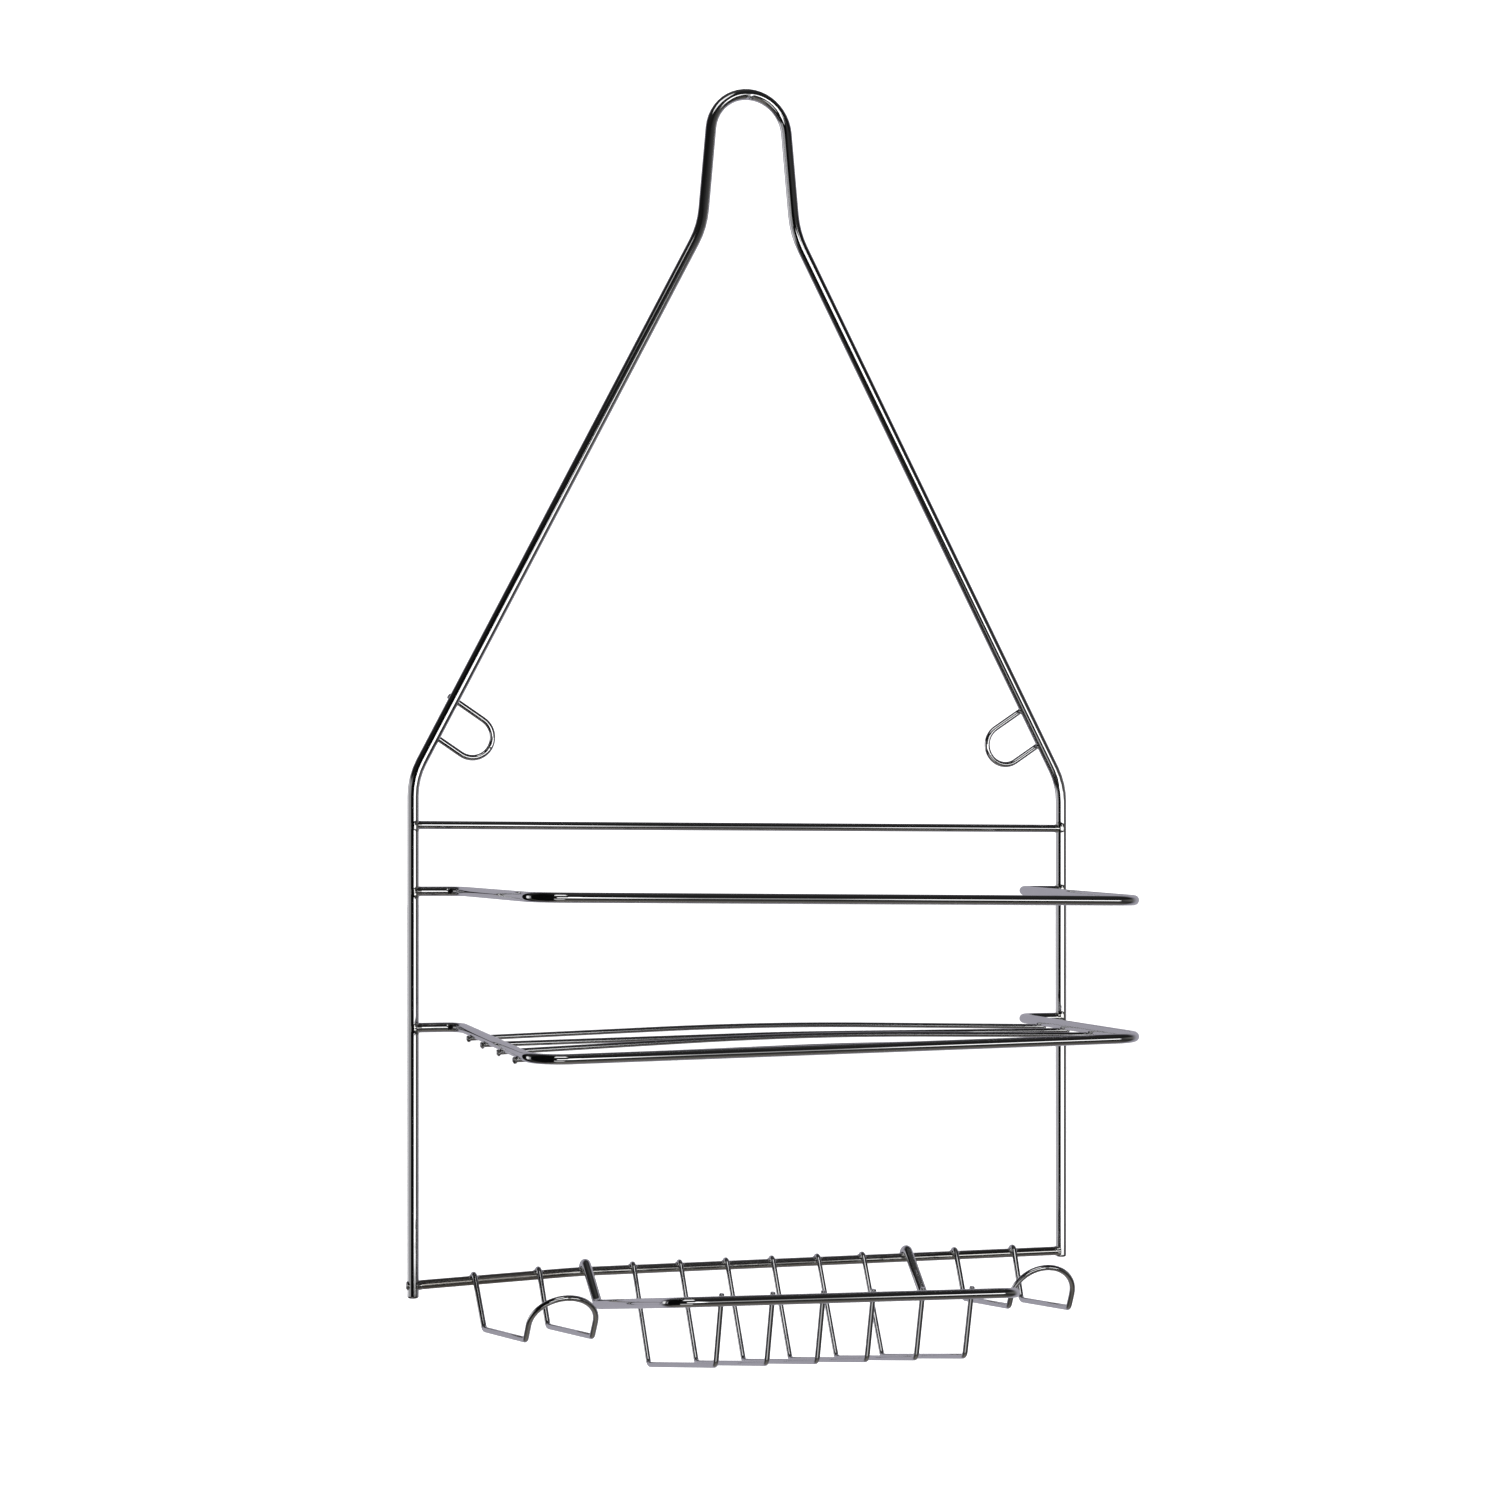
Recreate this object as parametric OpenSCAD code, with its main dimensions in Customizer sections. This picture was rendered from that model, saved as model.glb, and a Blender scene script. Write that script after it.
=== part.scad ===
// Hanging shower caddy, welded from bent round wire.
// The frame lies in the XZ plane, the shelves reach forward along -Y, and +Z is up.
// The origin is the underside of the hanger loop's crown, where it rests on the shower arm.

/* [Frame] */
// Distance between the two uprights, centre to centre
caddy_w = 260; // [230:5:300]
// Diameter of the frame wire
frame_d = 4.3; // [3.4:0.1:5]
// Inner width of the hanger loop at its widest
loop_w = 33; // [30:1:40]
// Bend radius of the hanger loop's crown, at the wire's centre
loop_r = 15.2; // [13:0.2:17]
// Depth of the neck bends below the origin
neck_drop = 49.5; // [40:0.5:60]
// Bend radius of the neck
neck_r = 34; // [10:1:45]
// Depth of the shoulder bends below the origin
shoulder_drop = 260; // [230:5:300]
// Bend radius of the shoulders
shoulder_r = 27; // [10:1:36]
// Length of the left upright below the bottom rail's centre
left_foot = 7.2; // [4:0.2:12]
// Length of the right upright below the bottom rail's centre
right_foot = 2.4; // [2.4:0.2:12]

/* [Cross bars] */
// Distance from the shoulder bends down to the top bar
top_bar_gap = 17.4; // [12:0.2:30]
// Diameter of the top bar
top_bar_d = 3.2; // [2.6:0.2:4]
// Distance from the shelf down to the bottom rail
rail_gap = 92.4; // [70:0.2:120]
// Diameter of the bottom rail
rail_d = 3.6; // [3:0.2:4.4]
// How far the rail's left end sags below its middle
rail_sag = 2.4; // [0:0.2:3]
// Length of the rail's sagging end
sag_l = 62; // [30:1:100]

/* [Shelf and guard rail] */
// Reach of the guard rail, shelf and soap dish in front of the frame, at the wire's centre
reach = 113; // [90:1:130]
// Distance from each upright in to the side arms
arm_inset = 18; // [14:1:30]
// Diameter of the guard rail, shelf rim and soap dish rim
rim_d = 3.7; // [3:0.1:4.4]
// Radius of the front corners
front_corner_r = 12; // [8:1:20]
// Radius where the stubs turn into the side arms
rear_corner_r = 6; // [4:0.5:10]
// Distance from the top bar down to the guard rail
guard_gap = 24.4; // [12:0.2:40]
// Fall of the guard rail to its front left and front right corners
guard_fall = [1.5, 3.2]; // [0:0.1:8]
// Distance from the guard rail down to the shelf
shelf_gap = 50.2; // [30:0.2:80]
// Fall of the shelf to its front left and front right corners
shelf_fall = [5.6, 1.9]; // [0:0.1:8]
// Diameter of the thin wires
wire_d = 2; // [1.6:0.1:2.4]
// Distance from the frame forward to the first shelf wire
shelf_wire_rear = 20; // [14:1:30]
// Distance from the last shelf wire forward to the front run
shelf_wire_front = 22; // [10:1:30]
// How far each shelf wire was welded forward of its even place
shelf_wire_shift = [0, -1.7, -0.3, 0]; // [-3:0.1:3]
// Height of each shelf wire's middle bend above its ends
shelf_wire_crown = [3.1, 1.2, 3.4, 1.2]; // [0.4:0.1:4]
// How far the shelf wires run out past the side arms
shelf_wire_overhang = 0.6; // [0:0.1:3]

/* [Soap dish] */
// Distance between the two side arms of the soap dish
dish_w = 129; // [120:1:150]
// Number of wires across the soap dish
dish_wires = 6; // [4:1:6]
// Radius of the dish's front corners
dish_corner_r = 9; // [6:0.5:16]
// Distance from the frame forward to the rim's rear bends
dish_rim_rear = 18; // [14:0.5:30]
// Radius of the rim's rear bends
dish_rim_r = 5; // [4:0.5:8]
// Height of the dish rim's rear bend below the rail
dish_rim_drop = 11; // [8:0.5:14]
// Height of the dish rim's front run above the rail
dish_front_rise = 2.8; // [0:0.2:5]
// Depth of the dish's floor below the rail, at the rear and at the front
dish_floor = [33.2, 20.4]; // [18:0.2:40]
// Distance from the frame forward to the floor's rear bends
dish_floor_rear = 22; // [18:0.5:40]
// Distance from the floor's front bends forward to the rim's front run
dish_floor_front = 9; // [5:0.5:16]
// How far the wires' tips stand above the rim
dish_tip = 0.5; // [0:0.1:2]
// Sideways lean of the dish, its right side down
dish_lean = 1; // [0:0.1:2]

/* [Accessory holders] */
// How far the left and right holder stand in from midway between the soap dish and the upright
holder_inset = [2.3, 0.4]; // [-4:0.1:4]
// Distance between a holder's two legs at its base
holder_w = 24; // [20:0.2:25]
// How much further apart the legs are where they hook over the rail
holder_spread = 0.6; // [0:0.1:2]
// Diameter of the holder wire
holder_d = 2.2; // [1.8:0.1:2.6]
// Depth of the left and right holder's base below the rail at the rear
holder_rear_drop = [17.8, 15.8]; // [14:0.2:22]
// Depth of the left and right holder's base below the rail at the front
holder_front_drop = [13.6, 11.1]; // [8:0.1:20]
// How much lower the outer leg of the left and right holder stands than the inner leg
holder_lean = [0, 1.6]; // [0:0.1:2]
// Distance from the frame forward to the base's rear and front bends
holder_reach = [13, 67]; // [10:1:90]
// How far the front of the left and right holder leans in towards the caddy's middle
holder_toe_in = [3, 6]; // [0:0.2:7]
// Height of the front arch above the base
arch_h = 15.6; // [14:0.2:24]
// How far the left and right holder's arch tips forward over its height
arch_tip = [11.5, 8]; // [4:0.5:16]

/* [Side loops] */
// Height of the loops' middle above the shoulder bends, on the slanted frame wire
side_loop_rise = 22.6; // [18:0.2:60]
// Width of each loop between its two legs, centre to centre
side_loop_w = 15.4; // [12:0.2:18]
// Distance from the frame wire to the centre of the loop's round end
side_loop_l = 13; // [12:0.2:18]
// Angle of the loops below level
side_loop_angle = 33.5; // [25:0.5:45]
// Diameter of the loop wire
side_loop_d = 2.3; // [1.8:0.1:2.6]
// How far the loop's upper and lower legs run past the frame wire's centre
side_loop_ends = [3, 0.8]; // [0:0.1:4]

/* [Welds] */
// How far two crossing wires are melted into each other
weld_sink = 0.7; // [0.4:0.1:0.9]
// How much wider than its bar each butt joint's fillet grows, on each side
fillet_w = 1; // [0.5:0.1:1.4]
// Length of that fillet along the bar
fillet_l = 1.3; // [0.8:0.1:2]
// How far the rail's weld bead stands out of the left upright
bead_out = 0.9; // [0.4:0.1:1.4]
// Radius of that bead
bead_r = 2.9; // [2.4:0.1:3.4]

/* [Hidden] */
$fn = 48;
shelf_wires = len(shelf_wire_crown);
chrome = [0.78, 0.79, 0.81];
LEFT = -1;
RIGHT = 1;
// A bend's tube is drawn this much thinner than the straights, which run this far into it
bend_neck = 0.03;
bend_lap = 0.05;
// What a half-round bend falls short of, so that its two quarter turns don't quite meet
bend_hair = 0.01;
half_w = caddy_w / 2;
arm_x = half_w - arm_inset;
// Height of the crown's centre, and half the neck's width at its bends
crown_z = frame_d / 2;
neck_x = (loop_w + frame_d) / 2;
// Height of the neck bends below the middle of the crown's round
neck_h = neck_drop + crown_z - loop_r;
// The loop's sides lean in from the neck bends until they just touch the crown's round
crown_taper = atan(neck_x / neck_h) - asin(loop_r / norm([neck_x, neck_h]));
// The crown's two corners stand just far enough apart for its bends to meet at the top
crown_x = loop_r * tan(45 - crown_taper / 2) + bend_lap;
// Slope of the slanted wires: outward for each unit down
slant = (half_w - neck_x) / (shoulder_drop - neck_drop);
top_bar_z = -shoulder_drop - top_bar_gap;
guard_z = top_bar_z - guard_gap;
shelf_z = guard_z - shelf_gap;
rail_z = shelf_z - rail_gap;
// The rail runs level up to here and falls to its left end beyond
sag_x = -half_w + sag_l;
sag_bend_r = 300;
// The copes run this far below the rail, past the longest foot
cope_lap = 12;
// The shelf wires stand evenly between the first and the last
shelf_wire_pitch = (reach - shelf_wire_rear - shelf_wire_front) / (shelf_wires - 1);
shelf_wire_bend_r = 1500;
// The soap dish's wires stand evenly between its side arms
dish_arm_x = dish_w / 2;
dish_pitch = dish_w / (dish_wires + 1);
dish_top_z = rail_z + dish_front_rise;
holder_mid_x = (dish_arm_x + half_w) / 2;
// How far a hook's end hangs below the rail's centre, behind it
hook_tail = 1;
dish_wire_r = 3;
holder_rear_r = 3;
holder_front_r = 2.6;

function unit(v) = v / norm(v);
// Half of the inner angle at q of the corner p, q, s
function half_angle(p, q, s) = acos(unit(p - q) * unit(s - q)) / 2;
function pick(r, i) = is_list(r) ? r[i - 1] : r;
// Length that the bend at point i takes from the straights beside it
function bend_cut(pts, i, r) = i == 0 || i == len(pts) - 1 ? 0
    : pick(r, i) / tan(half_angle(pts[i - 1], pts[i], pts[i + 1])) - bend_lap;
// Height of the bottom rail's centre at x
function rail_at(x) = rail_z - (x < sag_x ? rail_sag * (sag_x - x) / (sag_x + half_w) : 0);
// Sideways lean of the soap dish at x
function dish_dz(x) = -x * tan(dish_lean);
// A hook over the rail at x, and on to the point base that its leg runs down to
function hook(x, r, base) =
    let (z = rail_at(x), leg = [base.y, base.z - z])
    let (turn = atan2(leg.y, leg.x) + 180 + asin(r / norm(leg)))
    [[x, r, z - hook_tail], [x, r, z + r], [x, -r * tan(turn / 2), z + r], base];
function reversed(pts) = [for (i = [len(pts) - 1:-1:0]) pts[i]];

// Straight round bar from a to b
module bar(a, b, d) {
    v = b - a;
    translate(a)
        rotate([0, acos(v.z / norm(v)), atan2(v.y, v.x)])
            cylinder(h = norm(v), d = d);
}

// Round bend of radius r at q, between straights that come from p and go to s
module bend(p, q, s, r, d) {
    u = unit(p - q);
    v = unit(s - q);
    half = half_angle(p, q, s);
    centre = q + unit(u + v) * r / sin(half);
    x = unit(q + u * r / tan(half) - centre);
    z = cross(x, -u);
    multmatrix([[x.x, -u.x, z.x, centre.x], [x.y, -u.y, z.y, centre.y], [x.z, -u.z, z.z, centre.z]])
        rotate_extrude(angle = 180 - 2 * half)
            translate([r, 0])
                circle(d = d - bend_neck);
}

// Round wire through the points; r is one bend radius, or one for each inner point
module wire(pts, r, d) {
    for (i = [0:len(pts) - 2]) {
        v = unit(pts[i + 1] - pts[i]);
        bar(pts[i] + v * bend_cut(pts, i, r), pts[i + 1] - v * bend_cut(pts, i + 1, r), d);
    }
    for (i = [1:1:len(pts) - 2])
        bend(pts[i - 1], pts[i], pts[i + 1], pick(r, i), d);
}

// The uprights alone, used to cope the ends of the bars that butt against them
module uprights() {
    for (side = [LEFT, RIGHT])
        bar([side * half_w, 0, -shoulder_drop], [side * half_w, 0, rail_z - cope_lap], frame_d);
}

module frame_wire() color(chrome)
    wire([
        [-half_w, 0, rail_z - left_foot],
        [-half_w, 0, -shoulder_drop],
        [-neck_x, 0, -neck_drop],
        [-crown_x, 0, crown_z],
        [crown_x, 0, crown_z],
        [neck_x, 0, -neck_drop],
        [half_w, 0, -shoulder_drop],
        [half_w, 0, rail_z - right_foot]
    ], [shoulder_r, neck_r, loop_r, loop_r, neck_r, shoulder_r], frame_d);

// Straight bar from upright to upright, before its ends are coped
module cross_bar(z, d)
    bar([-half_w, 0, z], [half_w, 0, z], d);

module top_bar() color(chrome)
    difference() {
        cross_bar(top_bar_z, top_bar_d);
        uprights();
    }

module rail_wire()
    wire([
        [-half_w, 0, rail_z - rail_sag],
        [sag_x, 0, rail_z],
        [half_w, 0, rail_z]
    ], sag_bend_r, rail_d);

module bottom_rail() color(chrome)
    difference() {
        rail_wire();
        uprights();
    }

// Rim that leaves both uprights, turns forward and closes across the front
module rim(z, fall)
    wire([
        [-half_w, 0, z],
        [-arm_x, 0, z],
        [-arm_x, -reach, z - fall[0]],
        [arm_x, -reach, z - fall[1]],
        [arm_x, 0, z],
        [half_w, 0, z]
    ], [rear_corner_r, front_corner_r, front_corner_r, rear_corner_r], rim_d);

module guard_rail() color(chrome)
    difference() {
        rim(guard_z, guard_fall);
        uprights();
    }

module shelf_rim() color(chrome)
    difference() {
        rim(shelf_z, shelf_fall);
        uprights();
    }

// Shelf wire n, welded under both side arms, with a gentle crown
module shelf_wire(n) {
    y = shelf_wire_rear + n * shelf_wire_pitch + shelf_wire_shift[n];
    under = (rim_d + wire_d) / 2 - weld_sink;
    end_x = arm_x + rim_d / 2 + shelf_wire_overhang;
    left_z = shelf_z - shelf_fall[0] * y / reach - under;
    right_z = shelf_z - shelf_fall[1] * y / reach - under;
    difference() {
        wire([
            [-end_x, -y, left_z],
            [0, -y, (left_z + right_z) / 2 + shelf_wire_crown[n]],
            [end_x, -y, right_z]
        ], shelf_wire_bend_r, wire_d);
        for (side = [[-arm_x, shelf_fall[0]], [arm_x, shelf_fall[1]]])
            bar([side[0], 0, shelf_z], [side[0], -reach, shelf_z - side[1]], rim_d);
    }
}

module soap_dish_rim() color(chrome) {
    hook_r = (rail_d + rim_d) / 2 - weld_sink;
    bend_z = rail_z - dish_rim_drop;
    left_bend = [-dish_arm_x, -dish_rim_rear, bend_z + dish_dz(-dish_arm_x)];
    right_bend = [dish_arm_x, -dish_rim_rear, bend_z + dish_dz(dish_arm_x)];
    rear_half = [hook_r, hook_r, dish_rim_r, dish_corner_r];
    difference() {
        wire(concat(
            hook(-dish_arm_x, hook_r, left_bend),
            [[-dish_arm_x, -reach, dish_top_z + dish_dz(-dish_arm_x)]],
            [[dish_arm_x, -reach, dish_top_z + dish_dz(dish_arm_x)]],
            reversed(hook(dish_arm_x, hook_r, right_bend))
        ), concat(rear_half, reversed(rear_half)), rim_d);
        rail_wire();
    }
}

// Wire n of the soap dish: hooks over the rail, runs down, forward and up behind the rim
module soap_dish_wire(n) {
    x = (n - (dish_wires - 1) / 2) * dish_pitch;
    hook_r = (rail_d + wire_d) / 2 - weld_sink;
    front_y = -reach + (rim_d + wire_d) / 2 - weld_sink;
    rear = [x, -dish_floor_rear, rail_z - dish_floor[0] + dish_dz(x)];
    front = [x, -reach + dish_floor_front, rail_z - dish_floor[1] + dish_dz(x)];
    tip = [x, front_y, dish_top_z + dish_dz(x) + rim_d / 2 + dish_tip];
    radii = [hook_r, hook_r, dish_wire_r, dish_wire_r];
    difference() {
        wire(concat(hook(x, hook_r, rear), [front, tip]), radii, wire_d);
        rail_wire();
        bar([-dish_arm_x, -reach, dish_top_z + dish_dz(-dish_arm_x)],
            [dish_arm_x, -reach, dish_top_z + dish_dz(dish_arm_x)], rim_d);
    }
}

// Accessory holder on one side: two hooked legs, a base and a round arch that tips forward
module holder(side) {
    n = side == LEFT ? 0 : 1;
    hook_r = (rail_d + holder_d) / 2 - weld_sink;
    outer_x = side * (holder_mid_x - holder_inset[n] + holder_w / 2);
    inner_x = side * (holder_mid_x - holder_inset[n] - holder_w / 2);
    spread = side * holder_spread / 2;
    toe = -side * holder_toe_in[n];
    rear_z = rail_z - holder_rear_drop[n];
    front_z = rail_z - holder_front_drop[n];
    lean = holder_lean[n] / 2;
    arch_y = -holder_reach[1] - arch_tip[n];
    arch_r = holder_w / 2 - bend_hair;
    rear_half = [hook_r, hook_r, holder_rear_r, holder_front_r];
    difference() {
        wire(concat(
            hook(outer_x + spread, hook_r, [outer_x + toe / 4, -holder_reach[0], rear_z - lean]),
            [[outer_x + toe, -holder_reach[1], front_z - lean]],
            [[outer_x + toe, arch_y, front_z - lean + arch_h]],
            [[inner_x + toe, arch_y, front_z + lean + arch_h]],
            [[inner_x + toe, -holder_reach[1], front_z + lean]],
            reversed(hook(inner_x - spread, hook_r, [inner_x + toe / 4, -holder_reach[0], rear_z + lean]))
        ), concat(rear_half, [arch_r, arch_r], reversed(rear_half)), holder_d);
        rail_wire();
    }
}

// Small U loop welded behind the slanted wire
module side_loop(side) {
    y = (frame_d + side_loop_d) / 2 - weld_sink;
    root = [side * (half_w - side_loop_rise * slant), y, side_loop_rise - shoulder_drop];
    along = [-side * cos(side_loop_angle), 0, -sin(side_loop_angle)];
    across = [side * sin(side_loop_angle), 0, -cos(side_loop_angle)];
    r = side_loop_w / 2;
    tip = root + along * (side_loop_l + r);
    difference() {
        wire([
            root - across * r - along * side_loop_ends[0],
            tip - across * r,
            tip + across * r,
            root + across * r - along * side_loop_ends[1]
        ], r - bend_hair, side_loop_d);
        bar([side * neck_x, 0, -neck_drop], [side * half_w, 0, -shoulder_drop], frame_d);
    }
}

// Weld fillet where a bar of diameter d, given as the child, butts against an upright
module fillet(side, z, d)
    difference() {
        translate([side * (half_w - frame_d / 2 - fillet_l), 0, z])
            rotate([0, side * 90, 0])
                cylinder(h = fillet_l + frame_d / 4, d1 = d, d2 = d + 2 * fillet_w);
        children();
        uprights();
    }

// Bead on the outer face of the left upright, where the rail's weld came through
module rail_bead()
    difference() {
        translate([-half_w - frame_d / 2 - bead_out + bead_r, 0, rail_z - rail_sag])
            sphere(r = bead_r);
        translate([-half_w, -bead_r, rail_z - rail_sag - bead_r])
            cube(2 * bead_r);
        uprights();
    }

module frame_fillets() color(chrome) {
    for (side = [LEFT, RIGHT]) {
        fillet(side, top_bar_z, top_bar_d)
            cross_bar(top_bar_z, top_bar_d);
        for (z = [guard_z, shelf_z])
            fillet(side, z, rim_d)
                cross_bar(z, rim_d);
        fillet(side, rail_at(side * half_w), rail_d)
            rail_wire();
    }
    rail_bead();
}

frame_wire();
top_bar();
bottom_rail();
guard_rail();
shelf_rim();
for (n = [0:shelf_wires - 1])
    color(chrome) shelf_wire(n);
soap_dish_rim();
for (n = [0:dish_wires - 1])
    color(chrome) soap_dish_wire(n);
color(chrome) holder(LEFT);  // left_holder
color(chrome) holder(RIGHT);  // right_holder
color(chrome) side_loop(LEFT);  // left_side_loop
color(chrome) side_loop(RIGHT);  // right_side_loop
frame_fillets();
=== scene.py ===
import math

import bmesh
import bpy
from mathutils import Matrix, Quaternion, Vector, noise


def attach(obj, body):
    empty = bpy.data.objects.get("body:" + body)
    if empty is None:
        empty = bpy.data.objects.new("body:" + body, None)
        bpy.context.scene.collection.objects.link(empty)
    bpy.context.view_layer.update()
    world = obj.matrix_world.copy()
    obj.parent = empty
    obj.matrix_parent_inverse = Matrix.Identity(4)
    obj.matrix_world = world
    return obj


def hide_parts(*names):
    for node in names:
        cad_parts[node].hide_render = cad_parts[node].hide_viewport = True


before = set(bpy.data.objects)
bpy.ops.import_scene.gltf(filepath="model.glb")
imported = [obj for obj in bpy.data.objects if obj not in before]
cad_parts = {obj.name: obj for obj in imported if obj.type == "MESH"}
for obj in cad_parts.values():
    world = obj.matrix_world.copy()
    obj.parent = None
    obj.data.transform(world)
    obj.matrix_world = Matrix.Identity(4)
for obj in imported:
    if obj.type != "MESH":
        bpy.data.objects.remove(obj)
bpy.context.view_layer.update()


# ---------------------------------------------------------------- camera
# A level camera in front of the caddy and to its left, a little below the middle of the
# hanging height. The small shift keeps the uprights parallel in the picture.
camera_turn = math.radians(18.19)
camera_data = bpy.data.cameras.new("camera")
camera_data.sensor_width = 36
camera_data.lens = 70.16
camera_data.shift_y = 1 / 12
camera_data.dof.use_dof = False
camera_data.clip_start = 0.01
camera_data.clip_end = 60
camera = bpy.data.objects.new("camera", camera_data)
camera.location = (-0.3480, -1.0605, -0.2958)
camera.rotation_euler = (math.pi / 2, 0, -camera_turn)
bpy.context.scene.collection.objects.link(camera)
bpy.context.scene.camera = camera


# ---------------------------------------------------------------- studio
# A pale sweep of floor far under the hanging caddy, and soft white light from all round.
# The wires mirror only the studio room and two black flags: grey walls, a dark place around
# the camera, a window band to its right, a softbox overhead and its bounce off the floor.
class Signal:
    """One output in a finish's node tree. Arithmetic on it adds Math nodes."""

    def __init__(self, finish, socket):
        self.finish = finish
        self.socket = socket

    def maths(self, operation, *values):
        sockets = dict(enumerate(values))
        return self.finish.node("ShaderNodeMath", {"operation": operation}, sockets)

    def __add__(self, other):
        return self.maths("ADD", self, other)

    def __radd__(self, other):
        return self.maths("ADD", other, self)

    def __sub__(self, other):
        return self.maths("SUBTRACT", self, other)

    def __rsub__(self, other):
        return self.maths("SUBTRACT", other, self)

    def __mul__(self, other):
        return self.maths("MULTIPLY", self, other)

    def __rmul__(self, other):
        return self.maths("MULTIPLY", other, self)


class Finish:
    """A material whose nodes are all made by node()."""

    def __init__(self, name):
        self.material = bpy.data.materials.new(name)
        self.material.use_nodes = True
        self.tree = self.material.node_tree
        self.tree.nodes.clear()

    def node(self, kind, settings=None, sockets=None, out=0):
        made = self.tree.nodes.new(kind)
        for key, value in (settings or {}).items():
            if key == "stops":
                ramp = made.color_ramp
                while len(ramp.elements) < len(value):
                    ramp.elements.new(0.5)
                for element, (place, tone) in zip(ramp.elements, value):
                    element.position = place
                    rgb = tone if hasattr(tone, "__len__") else (tone, tone, tone)
                    element.color = (*rgb, 1)
            else:
                setattr(made, key, value)
        for key, value in (sockets or {}).items():
            if isinstance(value, Signal):
                self.tree.links.new(value.socket, made.inputs[key])
            else:
                made.inputs[key].default_value = value
        return Signal(self, made.outputs[out]) if made.outputs else made

    def place(self):
        return self.node("ShaderNodeTexCoord", out="Object")

    def axis(self, vector, direction):
        dot = {"operation": "DOT_PRODUCT"}
        return self.node("ShaderNodeVectorMath", dot, {0: vector, 1: direction}, out="Value")

    def ramp(self, value, low, high, stops):
        """Colour ramp over value from low to high; the stops are at values too."""
        share = (value - low) * (1 / (high - low))
        places = [((at - low) / (high - low), tone) for at, tone in stops]
        return self.node("ShaderNodeValToRGB", {"stops": places}, {"Fac": share})

    def smooth(self, value, low, high):
        sockets = {"Value": value, "From Min": low, "From Max": high}
        return self.node("ShaderNodeMapRange", {"interpolation_type": "SMOOTHSTEP"}, sockets)

    def mix(self, factor, a, b):
        return self.node("ShaderNodeMix", {"data_type": "RGBA"}, {0: factor, 6: a, 7: b}, out=2)

    def surface(self, shader):
        self.node("ShaderNodeOutputMaterial", None, {"Surface": shader})
        return self.material


floor_z = -0.62
floor_paint = Finish("pale_floor")
floor_tone = floor_paint.ramp(
    floor_paint.node("ShaderNodeTexNoise", None, {"Vector": floor_paint.place(), "Scale": 2.5}),
    0.3, 0.7, [(0.3, (0.90, 0.90, 0.905)), (0.7, (0.93, 0.93, 0.93))],
)
floor_paint.surface(
    floor_paint.node("ShaderNodeBsdfPrincipled", None, {"Base Color": floor_tone, "Roughness": 0.7})
)
floor_mesh = bmesh.new()
bmesh.ops.create_grid(floor_mesh, x_segments=2, y_segments=2, size=30)
floor_data = bpy.data.meshes.new("floor")
floor_mesh.to_mesh(floor_data)
floor_mesh.free()
floor_data.materials.append(floor_paint.material)
floor = bpy.data.objects.new("floor", floor_data)
floor.location.z = floor_z
floor.visible_glossy = False
bpy.context.scene.collection.objects.link(floor)

world = bpy.data.worlds.new("soft_white")
world.use_nodes = True
world.node_tree.nodes["Background"].inputs["Color"].default_value = (1, 1, 1, 1)
world.node_tree.nodes["Background"].inputs["Strength"].default_value = 1.5
world.cycles_visibility.glossy = False
bpy.context.scene.world = world
bpy.context.scene.view_settings.view_transform = "Standard"

overhead_data = bpy.data.lights.new("overhead", "AREA")
overhead_data.shape = "DISK"
overhead_data.size = 3
overhead_data.energy = 60
overhead = bpy.data.objects.new("overhead", overhead_data)
overhead.location = (-0.6, -0.8, 2.4)
overhead.rotation_euler = Vector((-0.6, -0.8, 2.8)).to_track_quat("Z", "Y").to_euler()
overhead.visible_glossy = False
bpy.context.scene.collection.objects.link(overhead)

# Bearings in the room are degrees from the camera's side, positive to its right, and
# heights are sines of the angle above the horizon.
room = Finish("studio_room")
room_place = room.place()
to_right = (math.cos(camera_turn), -math.sin(camera_turn), 0)
to_camera = (-math.sin(camera_turn), -math.cos(camera_turn), 0)
bearing = room.node(
    "ShaderNodeMath", {"operation": "ARCTAN2"},
    {0: room.axis(room_place, to_right), 1: room.axis(room_place, to_camera)},
) * (180 / math.pi)
height = room.axis(room_place, (0, 0, 1))
depth = height * -1
wall = (0.37, 0.36, 0.41)
around = room.ramp(
    bearing, -180, 180,
    [
        (-180, wall), (-147, wall), (-141, (0.09, 0.09, 0.10)), (-119, 0.08),
        (-114, 0.95), (-102, 0.95), (-96, (0.34, 0.34, 0.36)), (-42, 0.34),
        (-40, 0.003), (10, 0.003), (16, 0.03), (62, 0.05),
        (95, (0.11, 0.108, 0.10)), (134, (0.13, 0.128, 0.12)), (140, wall), (180, wall),
    ],
)
above = room.ramp(height, 0, 1, [(0, 0.1), (0.35, 0.008), (0.9, 0.02), (1, 0.05)])
below = room.ramp(
    depth, 0, 1,
    [
        (0, 0.03), (0.4, (0.016, 0.016, 0.015)),
        (0.7, (0.05, 0.048, 0.044)), (1, (0.16, 0.15, 0.135)),
    ],
)
window = room.ramp(
    bearing, -20, 90,
    [(-9, 0), (-6, 1.7), (33, 1.8), (35, 0.5), (38, 0.5), (40, 1.8), (54, 1.8), (60, 0)],
)
pane = room.smooth(bearing, 20, 24) * (1 - room.smooth(bearing, 31, 34)) * 0.14
sill = room.smooth(height, -0.17, -0.14) * (1 - room.smooth(height - pane, 0.02, 0.07))
lit = room.node(
    "ShaderNodeMix", {"data_type": "RGBA", "blend_type": "ADD"},
    {0: sill, 6: around, 7: window}, out=2,
)
softbox = (
    room.smooth(bearing, -34, -26) * (1 - room.smooth(bearing, 18, 26))
    * room.smooth(height, 0.60, 0.66) * (1 - room.smooth(height, 0.84, 0.90))
)
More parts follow.
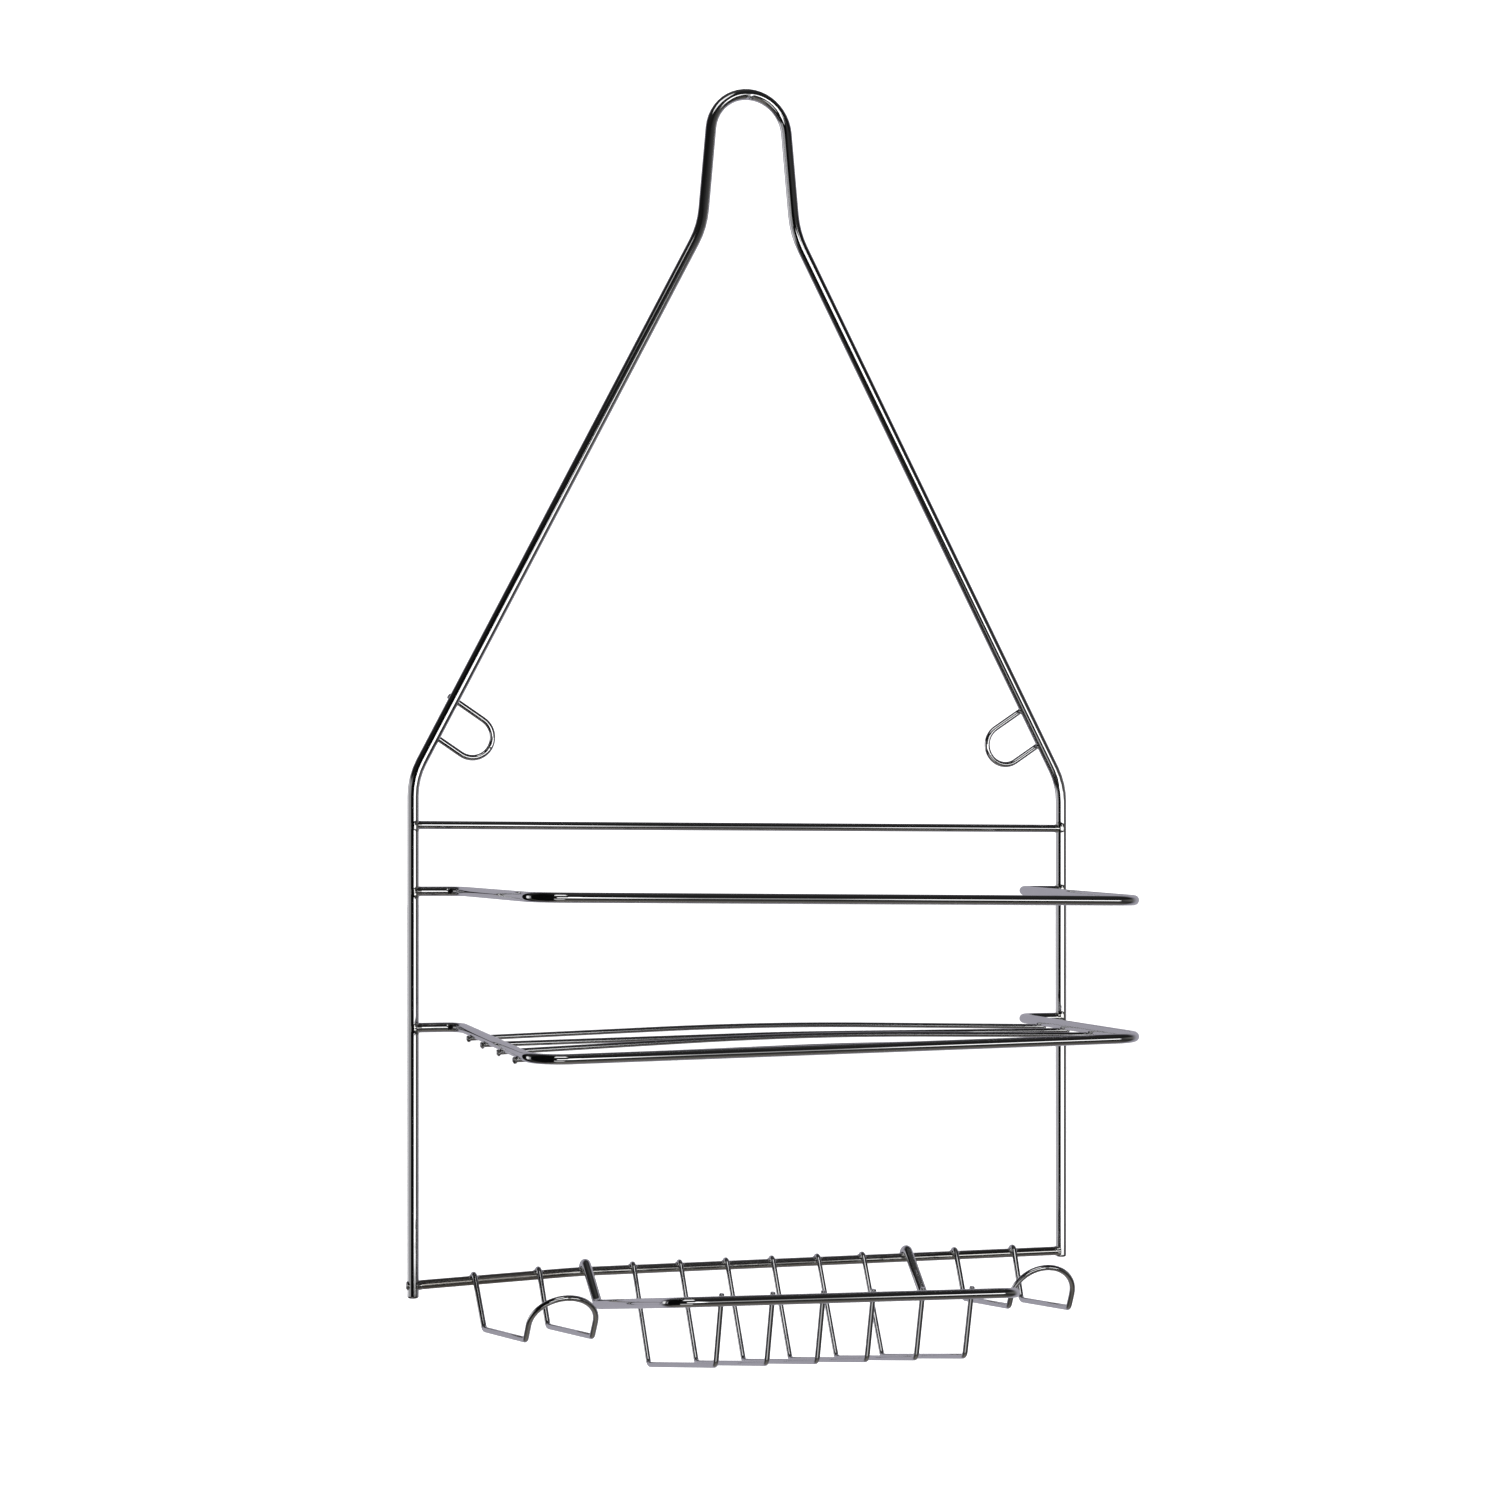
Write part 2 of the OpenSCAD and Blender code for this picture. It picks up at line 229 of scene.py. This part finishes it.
bounce = (
    room.smooth(bearing, -40, -30) * (1 - room.smooth(bearing, 10, 18))
    * room.smooth(depth, 0.42, 0.48) * (1 - room.smooth(depth, 0.66, 0.74))
)
above = room.mix(softbox, above, (1.15, 1.15, 1.15, 1))
below = room.mix(bounce, below, (0.55, 0.55, 0.55, 1))
high = room.smooth(height, 0.16, 0.34)
low = room.smooth(depth, 0.16, 0.34)
room_tone = room.mix(high, room.mix(low, lit, below), above)
behind = room.smooth(room.axis(room_place, to_camera) * -1, 0.2, 0.75)
room_tone = room.mix(behind * room.smooth(depth, -0.9, -0.5), room_tone, (*wall, 1))
room.surface(room.node("ShaderNodeEmission", None, {"Color": room_tone, "Strength": 1.0}))


def glossy_only(obj):
    """Puts obj in the studio where only the wires' reflections can see it."""
    obj.visible_camera = False
    obj.visible_diffuse = False
    obj.visible_transmission = False
    obj.visible_shadow = False
    bpy.context.scene.collection.objects.link(obj)


room_mesh = bmesh.new()
bmesh.ops.create_uvsphere(room_mesh, u_segments=48, v_segments=24, radius=1)
room_data = bpy.data.meshes.new("studio_room")
room_mesh.to_mesh(room_data)
room_mesh.free()
room_data.materials.append(room.material)
room_shell = bpy.data.objects.new("studio_room", room_data)
room_shell.location = (0, -0.05, -0.26)
room_shell.scale = (9, 9, 9)
glossy_only(room_shell)

# A tall black flag stands close in front of the left side, and a black strip beside it.
# They shade the uprights and the left front corners.
flag_edges = [
    ((-0.207, -0.0735), (-0.160, -0.187)),
    ((-0.1428, -0.080), (-0.123, -0.080)),
]
flag_foot_z = -0.56
flag_head_z = -0.06
flag_mesh = bmesh.new()
for near, far in flag_edges:
    foot = [flag_mesh.verts.new((*edge, flag_foot_z)) for edge in (near, far)]
    head = [flag_mesh.verts.new((*edge, flag_head_z)) for edge in (far, near)]
    flag_mesh.faces.new(foot + head)
flag_cloth = Finish("flag_cloth")
flag_tone = flag_cloth.ramp(
    flag_cloth.node("ShaderNodeTexNoise", None, {"Vector": flag_cloth.place(), "Scale": 40}),
    0.3, 0.7, [(0.3, 0.002), (0.7, 0.004)],
)
flag_cloth.surface(
    flag_cloth.node("ShaderNodeEmission", None, {"Color": flag_tone, "Strength": 1.0})
)
flag_data = bpy.data.meshes.new("black_flag")
flag_mesh.to_mesh(flag_data)
flag_mesh.free()
flag_data.materials.append(flag_cloth.material)
glossy_only(bpy.data.objects.new("black_flag", flag_data))


# ---------------------------------------------------------------- frame wire
# One long round steel wire, bent at the crown, neck and shoulders into the hanger and the
# two uprights, then chrome plated. Its cut ends stand a few millimetres below the rail.
caddy_w = 0.260
frame_d = 0.0043
loop_w = 0.033
loop_r = 0.0152
neck_z = -0.0495
neck_r = 0.034
shoulder_z = -0.260
shoulder_r = 0.027
left_foot = 0.0072
right_foot = 0.0024
rail_z = -0.4444
# The drawn wires stay this far inside their full radius
plating_gap = 0.00004
# A hair of straight wire between two bends that meet
bend_lap = 0.00005

half_w = caddy_w / 2
neck_x = (loop_w + frame_d) / 2
crown_z = frame_d / 2
neck_h = crown_z - loop_r - neck_z
crown_taper = math.atan(neck_x / neck_h) - math.asin(loop_r / math.hypot(neck_x, neck_h))
crown_x = loop_r * math.tan(math.pi / 4 - crown_taper / 2) + bend_lap
slant = (half_w - neck_x) / (neck_z - shoulder_z)


def bent_line(corners, radii, pitch=0.004, bend_step=8):
    """Points along a wire's centre, through straights and round bends.

    They stand no further apart than pitch, nor than bend_step degrees in a bend.
    """
    corners = [Vector(c) for c in corners]
    line = [corners[0]]
    for i in range(1, len(corners) - 1):
        r = radii[i - 1]
        back = (corners[i - 1] - corners[i]).normalized()
        on = (corners[i + 1] - corners[i]).normalized()
        half = back.angle(on) / 2
        centre = corners[i] + (back + on).normalized() * (r / math.sin(half))
        arm = corners[i] + back * (r / math.tan(half)) - centre
        axis = arm.cross(-back).normalized()
        turn = math.pi - 2 * half
        steps = max(2, math.ceil(math.degrees(turn) / bend_step), math.ceil(turn * r / pitch))
        for k in range(steps + 1):
            line.append(centre + Quaternion(axis, turn * k / steps) @ arm)
    line.append(corners[-1])
    spread = [line[0]]
    for a, b in zip(line, line[1:]):
        if (b - a).length < 1e-6:
            continue
        parts = max(1, math.ceil((b - a).length / pitch))
        spread += [a.lerp(b, k / parts) for k in range(1, parts + 1)]
    return spread


def draw_wire(mesh, line, d, sides=20, chamfer=0.12):
    """Sweeps a round wire of diameter d along line into mesh.

    Its sheared ends have a chamfer of that share of d.
    """
    radius = d / 2 - plating_gap
    spots = []
    for i, p in enumerate(line):
        ahead = line[min(i + 1, len(line) - 1)] - line[max(i - 1, 0)]
        spots.append((p, ahead.normalized(), radius))
    cut = d * chamfer
    (first, first_ahead, _), (last, last_ahead, _) = spots[0], spots[-1]
    # Each end: how far in from the cut face, in chamfers, and the wire's radius there
    ends = [(0, (radius - cut) * 0.86), (0.25, radius - cut * 0.75), (1, radius), (1.8, radius)]
    head = [(first + first_ahead * cut * depth_in, first_ahead, r) for depth_in, r in ends]
    tail = [(last - last_ahead * cut * depth_in, last_ahead, r) for depth_in, r in ends[::-1]]
    spots = head + spots[1:-1] + tail
    side = spots[0][1].orthogonal().normalized()
    rings = []
    for p, ahead, r in spots:
        side = (side - ahead * side.dot(ahead)).normalized()
        other = ahead.cross(side)
        ring = []
        for k in range(sides):
            a = 2 * math.pi * k / sides
            ring.append(mesh.verts.new(p + (side * math.cos(a) + other * math.sin(a)) * r))
        rings.append(ring)
    for one, two in zip(rings, rings[1:]):
        for k in range(sides):
            n = (k + 1) % sides
            mesh.faces.new((one[k], one[n], two[n], two[k]))
    for cap in (mesh.faces.new(list(reversed(rings[0]))), mesh.faces.new(rings[-1])):
        for edge in cap.edges:
            edge.smooth = False


def put_together(name, mesh, finish, slot_name, *nodes):
    """Makes the piece from its mesh, stands it in for its CAD nodes, if any, and fixes it on."""
    for face in mesh.faces:
        face.smooth = True
    data = bpy.data.meshes.new(name)
    mesh.to_mesh(data)
    mesh.free()
    data.materials.append(finish)
    piece = bpy.data.objects.new(name, data)
    bpy.context.scene.collection.objects.link(piece)
    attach(piece, "root")
    if nodes:
        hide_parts(*nodes)


def chrome_finish(name, tone, sheen, ripple, grit, grit_amount, dim_left_of=None):
    """Chrome plate: a faint mottle, slow ripples along the wire and fine pits in patches.

    Left of dim_left_of, if given, the plate is painted darker and browner and made rougher. This is
    painted shade that takes out the highlight there.
    """
    plate = Finish(name)
    place = plate.place()
    slow = plate.node("ShaderNodeTexNoise", None, {"Vector": place, "Scale": 45, "Detail": 0.5})
    cloud = plate.node("ShaderNodeTexNoise", None, {"Vector": place, "Scale": 28, "Detail": 3})
    fine = plate.node("ShaderNodeTexNoise", None, {"Vector": place, "Scale": 1100, "Detail": 3})
    spots = plate.node(
        "ShaderNodeTexVoronoi", None, {"Vector": place, "Scale": 420}, out="Distance"
    )
    pitted = plate.smooth(cloud, 0.62 - grit_amount, 0.80 - grit_amount)
    pits = (1 - plate.smooth(spots, 0.10, 0.30)) * pitted
    dark = tuple(0.62 * c for c in tone)
    light = tuple(min(0.95, 1.04 * c) for c in tone)
    colour = plate.ramp(cloud, 0.3, 0.7, [(0.3, tone), (0.5, light), (0.7, tone)])
    colour = plate.mix(pits * 0.7, colour, (*dark, 1))
    rough = sheen + plate.smooth(cloud, 0.35, 0.75) * sheen * 0.8 + pits * 0.25 + pitted * grit
    if dim_left_of is not None:
        # Painted shade: left of this x the plate's colour is darkened towards brown to take out its
        # highlight
        patchy = plate.axis(place, (1, 0, 0)) + cloud * 0.03
        dimmed_left = 1 - plate.smooth(patchy, dim_left_of, dim_left_of + 0.02)
        colour = plate.mix(dimmed_left * 0.8, colour, (0.40, 0.375, 0.34, 1))
        rough = rough + dimmed_left * 0.16
    relief = slow * ripple + fine * pitted * grit - pits * 0.10
    bump = plate.node(
        "ShaderNodeBump", None, {"Height": relief, "Strength": 1.0, "Distance": 0.00022}
    )
    return plate.surface(plate.node(
        "ShaderNodeBsdfPrincipled", None,
        {"Base Color": colour, "Metallic": 1.0, "Roughness": rough, "Normal": bump},
    ))


bright_chrome = chrome_finish(
    "bright_chrome", (0.82, 0.82, 0.83), sheen=0.025, ripple=0.16, grit=0.0, grit_amount=-0.3
)
frame_line = bent_line(
    [
        (-half_w, 0, rail_z - left_foot), (-half_w, 0, shoulder_z), (-neck_x, 0, neck_z),
        (-crown_x, 0, crown_z), (crown_x, 0, crown_z), (neck_x, 0, neck_z),
        (half_w, 0, shoulder_z), (half_w, 0, rail_z - right_foot),
    ],
    [shoulder_r, neck_r, loop_r, loop_r, neck_r, shoulder_r],
)
frame_mesh = bmesh.new()
draw_wire(frame_mesh, frame_line, frame_d, sides=24)
put_together("frame_wire", frame_mesh, bright_chrome, "chrome", "frame_wire")


# ---------------------------------------------------------------- cross bars
# The thin top bar ties the uprights below the shoulders, the thicker bottom rail carries
# every hooked wire. The rail's plating is the grittiest, as its welds were done last.
top_bar_z = -0.2774
top_bar_d = 0.0032
rail_d = 0.0036
rail_sag = 0.0024
sag_l = 0.062
sag_bend_r = 0.3
sag_x = -half_w + sag_l

bar_mesh = bmesh.new()
bar_line = bent_line([(-half_w, 0, top_bar_z), (half_w, 0, top_bar_z)], [])
draw_wire(bar_mesh, bar_line, top_bar_d)
put_together("top_bar", bar_mesh, bright_chrome, "chrome", "top_bar")

# The rail's left end, out to the sag, gets painted shade: a darker, browner plate that dims its
# highlight
gritty_chrome = chrome_finish(
    "gritty_chrome", (0.72, 0.71, 0.69), sheen=0.06, ripple=0.6, grit=0.08, grit_amount=0.12,
    dim_left_of=sag_x,
)
rail_line = bent_line(
    [(-half_w, 0, rail_z - rail_sag), (sag_x, 0, rail_z), (half_w, 0, rail_z)], [sag_bend_r]
)
rail_mesh = bmesh.new()
draw_wire(rail_mesh, rail_line, rail_d)
put_together("bottom_rail", rail_mesh, gritty_chrome, "chrome", "bottom_rail")


# ---------------------------------------------------------------- guard rail and shelf rim
# Two wires bent alike: a short stub off each upright, a side arm and the front run. The
# fronts hang a little unevenly, each corner by its own amount.
reach = 0.113
arm_x = half_w - 0.018
rim_d = 0.0037
front_corner_r = 0.012
rear_corner_r = 0.006
guard_z = -0.3018
guard_fall = (0.0015, 0.0032)
shelf_z = -0.3520
shelf_fall = (0.0056, 0.0019)


def rim_line(z, fall):
    return bent_line(
        [
            (-half_w, 0, z), (-arm_x, 0, z), (-arm_x, -reach, z - fall[0]),
            (arm_x, -reach, z - fall[1]), (arm_x, 0, z), (half_w, 0, z),
        ],
        [rear_corner_r, front_corner_r, front_corner_r, rear_corner_r],
    )


for rim_name, rim_z, rim_fall in (
    ("guard_rail", guard_z, guard_fall),
    ("shelf_rim", shelf_z, shelf_fall),
):
    rim_mesh = bmesh.new()
    draw_wire(rim_mesh, rim_line(rim_z, rim_fall), rim_d, sides=24)
    put_together(rim_name, rim_mesh, bright_chrome, "chrome", rim_name)


# ---------------------------------------------------------------- shelf wires
# Four thin wires with a slight crown, resistance welded under the side arms with their
# sheared ends just showing outside.
wire_d = 0.0020
weld_sink = 0.0007
shelf_wire_rear = 0.020
shelf_wire_front = 0.022
shelf_wire_shift = [0, -0.0017, -0.0003, 0]
shelf_wire_crown = [0.0031, 0.0012, 0.0034, 0.0012]
shelf_wire_pitch = (reach - shelf_wire_rear - shelf_wire_front) / (len(shelf_wire_crown) - 1)
shelf_wire_bend_r = 1.5
shelf_overhang = 0.0006

thin_chrome = chrome_finish(
    "thin_wire_chrome", (0.80, 0.80, 0.81), sheen=0.035, ripple=0.2, grit=0.03, grit_amount=-0.05
)
shelf_welds = []
for n, (shift, crown) in enumerate(zip(shelf_wire_shift, shelf_wire_crown)):
    y = shelf_wire_rear + n * shelf_wire_pitch + shift
    under = (rim_d + wire_d) / 2 - weld_sink
    end_x = arm_x + rim_d / 2 + shelf_overhang
    left_z = shelf_z - shelf_fall[0] * y / reach - under
    right_z = shelf_z - shelf_fall[1] * y / reach - under
    shelf_line = bent_line(
        [(-end_x, -y, left_z), (0, -y, (left_z + right_z) / 2 + crown), (end_x, -y, right_z)],
        [shelf_wire_bend_r],
    )
    shelf_mesh = bmesh.new()
    draw_wire(shelf_mesh, shelf_line, wire_d, sides=16)
    shelf_name = f"shelf_wire_{n + 1}"
    put_together(shelf_name, shelf_mesh, thin_chrome, "chrome", shelf_name)
    shelf_welds.append(Vector((-arm_x, -y, left_z + wire_d / 2)))
    shelf_welds.append(Vector((arm_x, -y, right_z + wire_d / 2)))


# ---------------------------------------------------------------- soap dish rim
# A heavier wire hooked over the bottom rail on both sides: down, forward, and across the
# front, its right side a little lower.
dish_w = 0.129
dish_arm_x = dish_w / 2
dish_corner_r = 0.009
dish_rim_rear = 0.018
dish_rim_r = 0.005
dish_rim_drop = 0.011
dish_top_z = rail_z + 0.0028
dish_lean = math.tan(math.radians(1))
hook_tail = 0.001


def rail_at(x):
    return rail_z - (rail_sag * (sag_x - x) / (sag_x + half_w) if x < sag_x else 0)


def hook(x, r, base):
    """Corners of a hook of radius r over the rail at x, and on to base that its leg runs to."""
    z = rail_at(x)
    leg = Vector((base[1], base[2] - z))
    turn = math.atan2(leg.y, leg.x) + math.pi + math.asin(r / leg.length)
    return [(x, r, z - hook_tail), (x, r, z + r), (x, -r * math.tan(turn / 2), z + r), base]


rim_hook_r = (rail_d + rim_d) / 2 - weld_sink
dish_left = (-dish_arm_x, -dish_rim_rear, rail_z - dish_rim_drop + dish_arm_x * dish_lean)
dish_right = (dish_arm_x, -dish_rim_rear, rail_z - dish_rim_drop - dish_arm_x * dish_lean)
dish_line = bent_line(
    hook(-dish_arm_x, rim_hook_r, dish_left)
    + [(-dish_arm_x, -reach, dish_top_z + dish_arm_x * dish_lean)]
    + [(dish_arm_x, -reach, dish_top_z - dish_arm_x * dish_lean)]
    + hook(dish_arm_x, rim_hook_r, dish_right)[::-1],
    [
        rim_hook_r, rim_hook_r, dish_rim_r, dish_corner_r,
        dish_corner_r, dish_rim_r, rim_hook_r, rim_hook_r,
    ],
)
dish_mesh = bmesh.new()
draw_wire(dish_mesh, dish_line, rim_d, sides=24)
put_together("soap_dish_rim", dish_mesh, bright_chrome, "chrome", "soap_dish_rim")


# ---------------------------------------------------------------- soap dish wires
# Six thin wires, each hooked over the rail, bent into the dish's trough and welded behind
# the front rim, where their sheared tips stand half a millimetre proud.
dish_wires = 6
dish_pitch = dish_w / (dish_wires + 1)
dish_wire_r = 0.003
dish_floor_rear = (-0.022, rail_z - 0.0332)
dish_floor_front = (-reach + 0.009, rail_z - 0.0204)
wire_hook_r = (rail_d + wire_d) / 2 - weld_sink
tip_y = -reach + (rim_d + wire_d) / 2 - weld_sink
tip_z = dish_top_z + rim_d / 2 + 0.0005

tip_welds = []
hook_welds = [(-dish_arm_x, rim_d), (dish_arm_x, rim_d)]
for n in range(dish_wires):
    x = (n - (dish_wires - 1) / 2) * dish_pitch
    lean = -x * dish_lean
    soap_line = bent_line(
        hook(x, wire_hook_r, (x, dish_floor_rear[0], dish_floor_rear[1] + lean))
        + [(x, dish_floor_front[0], dish_floor_front[1] + lean)]
        + [(x, tip_y, tip_z + lean)],
        [wire_hook_r, wire_hook_r, dish_wire_r, dish_wire_r],
    )
    soap_mesh = bmesh.new()
    draw_wire(soap_mesh, soap_line, wire_d, sides=16)
    soap_name = f"soap_dish_wire_{n + 1}"
    put_together(soap_name, soap_mesh, thin_chrome, "chrome", soap_name)
    tip_welds.append((x, -reach + rim_d / 2, dish_top_z + lean))
    hook_welds.append((x, wire_d))


# ---------------------------------------------------------------- accessory holders
# On each side one wire makes two hooked legs, a narrow base and a round arch that tips
# forward, for a razor or a brush. Both lean in towards the middle, the right one more.
holder_mid_x = (dish_arm_x + half_w) / 2
holder_w = 0.024
holder_spread = 0.0006
holder_d = 0.0022
holder_rear_y = -0.013
holder_front_y = -0.067
holder_rear_r = 0.003
holder_front_r = 0.0026
holder_hook_r = (rail_d + holder_d) / 2 - weld_sink
# A half-round bend is two quarter turns that fall this short of meeting
bend_hair = 0.00001
arch_r = holder_w / 2 - bend_hair
arch_h = 0.0156

for holder_name, hand, inset, toe_in, rear_drop, front_drop, lean, arch_tip in (
    ("left_holder", -1, 0.0023, 0.003, 0.0178, 0.0136, 0, 0.0115),
    ("right_holder", 1, 0.0004, 0.006, 0.0158, 0.0111, 0.0016, 0.008),
):
    toe = -hand * toe_in
    legs = []
    for outer in (1, -1):
        leg_x = hand * (holder_mid_x - inset + outer * holder_w / 2)
        hook_x = leg_x + outer * hand * holder_spread / 2
        leg_z = rail_z - outer * lean / 2
        legs.append(
            hook(hook_x, holder_hook_r, (leg_x + toe / 4, holder_rear_y, leg_z - rear_drop))
            + [(leg_x + toe, holder_front_y, leg_z - front_drop)]
            + [(leg_x + toe, holder_front_y - arch_tip, leg_z - front_drop + arch_h)]
        )
        hook_welds.append((hook_x, holder_d))
    leg_bends = [holder_hook_r, holder_hook_r, holder_rear_r, holder_front_r]
    holder_line = bent_line(
        legs[0] + legs[1][::-1], leg_bends + [arch_r, arch_r] + leg_bends[::-1]
    )
    holder_mesh = bmesh.new()
    draw_wire(holder_mesh, holder_line, holder_d, sides=18)
    put_together(holder_name, holder_mesh, thin_chrome, "chrome", holder_name)


# ---------------------------------------------------------------- side loops
# A small U of thin chromed wire for hanging a cloth or sponge, its two sheared legs welded
# behind each slanted wire a little above the shoulder.
side_loop_d = 0.0023
side_loop_w = 0.0154
side_loop_l = 0.013
side_loop_ends = (0.003, 0.0008)
side_loop_rise = 0.0226
side_loop_tilt = math.radians(33.5)

loop_welds = []
for loop_name, hand in (("left_side_loop", -1), ("right_side_loop", 1)):
    y = (frame_d + side_loop_d) / 2 - weld_sink
    root = Vector((hand * (half_w - side_loop_rise * slant), y, side_loop_rise + shoulder_z))
    along = Vector((-hand * math.cos(side_loop_tilt), 0, -math.sin(side_loop_tilt)))
    across = Vector((hand * math.sin(side_loop_tilt), 0, -math.cos(side_loop_tilt)))
    r = side_loop_w / 2
    tip = root + along * (side_loop_l + r)
    loop_line = bent_line(
        [
            root - across * r - along * side_loop_ends[0], tip - across * r,
            tip + across * r, root + across * r - along * side_loop_ends[1],
        ],
        [r - bend_hair, r - bend_hair],
    )
    loop_mesh = bmesh.new()
    draw_wire(loop_mesh, loop_line, side_loop_d, sides=18)
    put_together(loop_name, loop_mesh, bright_chrome, "chrome", loop_name)
    for lower in (-1, 1):
        leg = root + across * (r * lower)
        upright_x = hand * (neck_x + (neck_z - leg.z) * slant)
        reach_in = (upright_x - leg.x) / along.x
        weld = leg + along * reach_in * 0.9
        loop_welds.append((weld.x, frame_d / 2 - 0.0003, weld.z))


# ---------------------------------------------------------------- welds
# Where bars butt against the uprights a fillet of weld metal runs round them. Crossing
# wires are melted into each other, with a low flash of metal squeezed out beside them.
def nugget(mesh, place, size, seed, rough=0.16):
    """A lumpy, flattened drop of weld metal; size is its half width along x, y and z."""
    drop = bmesh.ops.create_icosphere(mesh, subdivisions=3, radius=1)["verts"]
    for v in drop:
        d = v.co.normalized()
        swell = 1 + rough * noise.noise(d * 1.7 + Vector((seed * 3.1, seed * 1.7, 5)))
        v.co = Vector(place) + Vector((d.x * size[0], d.y * size[1], d.z * size[2])) * swell


def collar(mesh, hand, z, d, grow, run, seed):
    """A flared ring of weld metal where a bar of diameter d meets the inside of an upright.

    It starts run out along the bar, tucked just inside it, and ends grow wider than it.
    """
    sides, steps = 24, 8
    tuck = 0.00008
    flare = 1.9
    lumpiness = 0.35
    rings = []
    face = half_w - frame_d / 2
    for k in range(steps + 1):
        t = k / steps
        x = hand * (face - run + (run + frame_d * 0.3) * t)
        ring = []
        for s in range(sides):
            a = 2 * math.pi * s / sides
            spot = Vector((math.cos(a) * 1.5, math.sin(a) * 1.5, t * 1.5 + seed * 7))
            lump = 1 + lumpiness * noise.noise(spot)
            r = d / 2 - plating_gap + grow * t ** flare * lump - (tuck if k == 0 else 0)
            ring.append(mesh.verts.new((x, math.cos(a) * r, z + math.sin(a) * r)))
        rings.append(ring)
    for one, two in zip(rings, rings[1:]):
        for s in range(sides):
            n = (s + 1) % sides
            quad = (one[s], one[n], two[n], two[s])
            mesh.faces.new(quad if hand > 0 else quad[::-1])
    mesh.faces.new(rings[0][::-1] if hand > 0 else rings[0])
    mesh.faces.new(rings[-1] if hand > 0 else rings[-1][::-1])


weld_chrome = chrome_finish(
    "weld_chrome", (0.74, 0.735, 0.72), sheen=0.06, ripple=0.8, grit=0.08, grit_amount=0.10
)
butt_mesh = bmesh.new()
for n, (z, d) in enumerate(((top_bar_z, top_bar_d), (guard_z, rim_d), (shelf_z, rim_d))):
    for hand in (-1, 1):
        collar(butt_mesh, hand, z, d, grow=0.0004, run=0.0010, seed=n + hand * 0.3)
        swelling = (hand * (half_w - 0.00012), -0.0001, z + 0.0004 * hand)
        swelling_size = (frame_d / 2, frame_d / 2, 0.0052)
        nugget(butt_mesh, swelling, swelling_size, seed=n * 2 + hand, rough=0.03)
for hand in (-1, 1):
    collar(butt_mesh, hand, rail_at(hand * half_w), rail_d, grow=0.0006, run=0.0012, seed=5 + hand)
bead = (-half_w - frame_d / 2 + 0.0001, 0, rail_at(-half_w))
nugget(butt_mesh, bead, (0.0007, 0.0016, 0.0017), seed=4)
put_together("frame_welds", butt_mesh, weld_chrome, "weld_chrome", "frame_fillets")

crossing_mesh = bmesh.new()
for n, place in enumerate(shelf_welds):
    nugget(crossing_mesh, place, (0.0013, 0.0016, 0.0006), seed=n)
    outside = math.copysign(rim_d / 2 - 0.0003, place.x)
    swollen_end = place + Vector((outside, 0, -wire_d / 2 - 0.0003))
    nugget(crossing_mesh, swollen_end, (0.0008, 0.00125, 0.00120), seed=10 + n)
for n, (x, d) in enumerate(hook_welds):
    z = rail_at(x)
    flash_size = (d / 2 + 0.0009, 0.0009, 0.0009)
    for spot, (y, up) in enumerate(((0.0012, 0.0011), (-0.0011, 0.0012))):
        nugget(crossing_mesh, (x, y, z + up), flash_size, seed=20 + n * 2 + spot)
for n, place in enumerate(tip_welds):
    nugget(crossing_mesh, place, (0.0015, 0.0006, 0.0012), seed=60 + n)
for n, place in enumerate(loop_welds):
    nugget(crossing_mesh, place, (0.0016, 0.0006, 0.0014), seed=80 + n)
put_together("crossing_welds", crossing_mesh, weld_chrome, "weld_chrome")
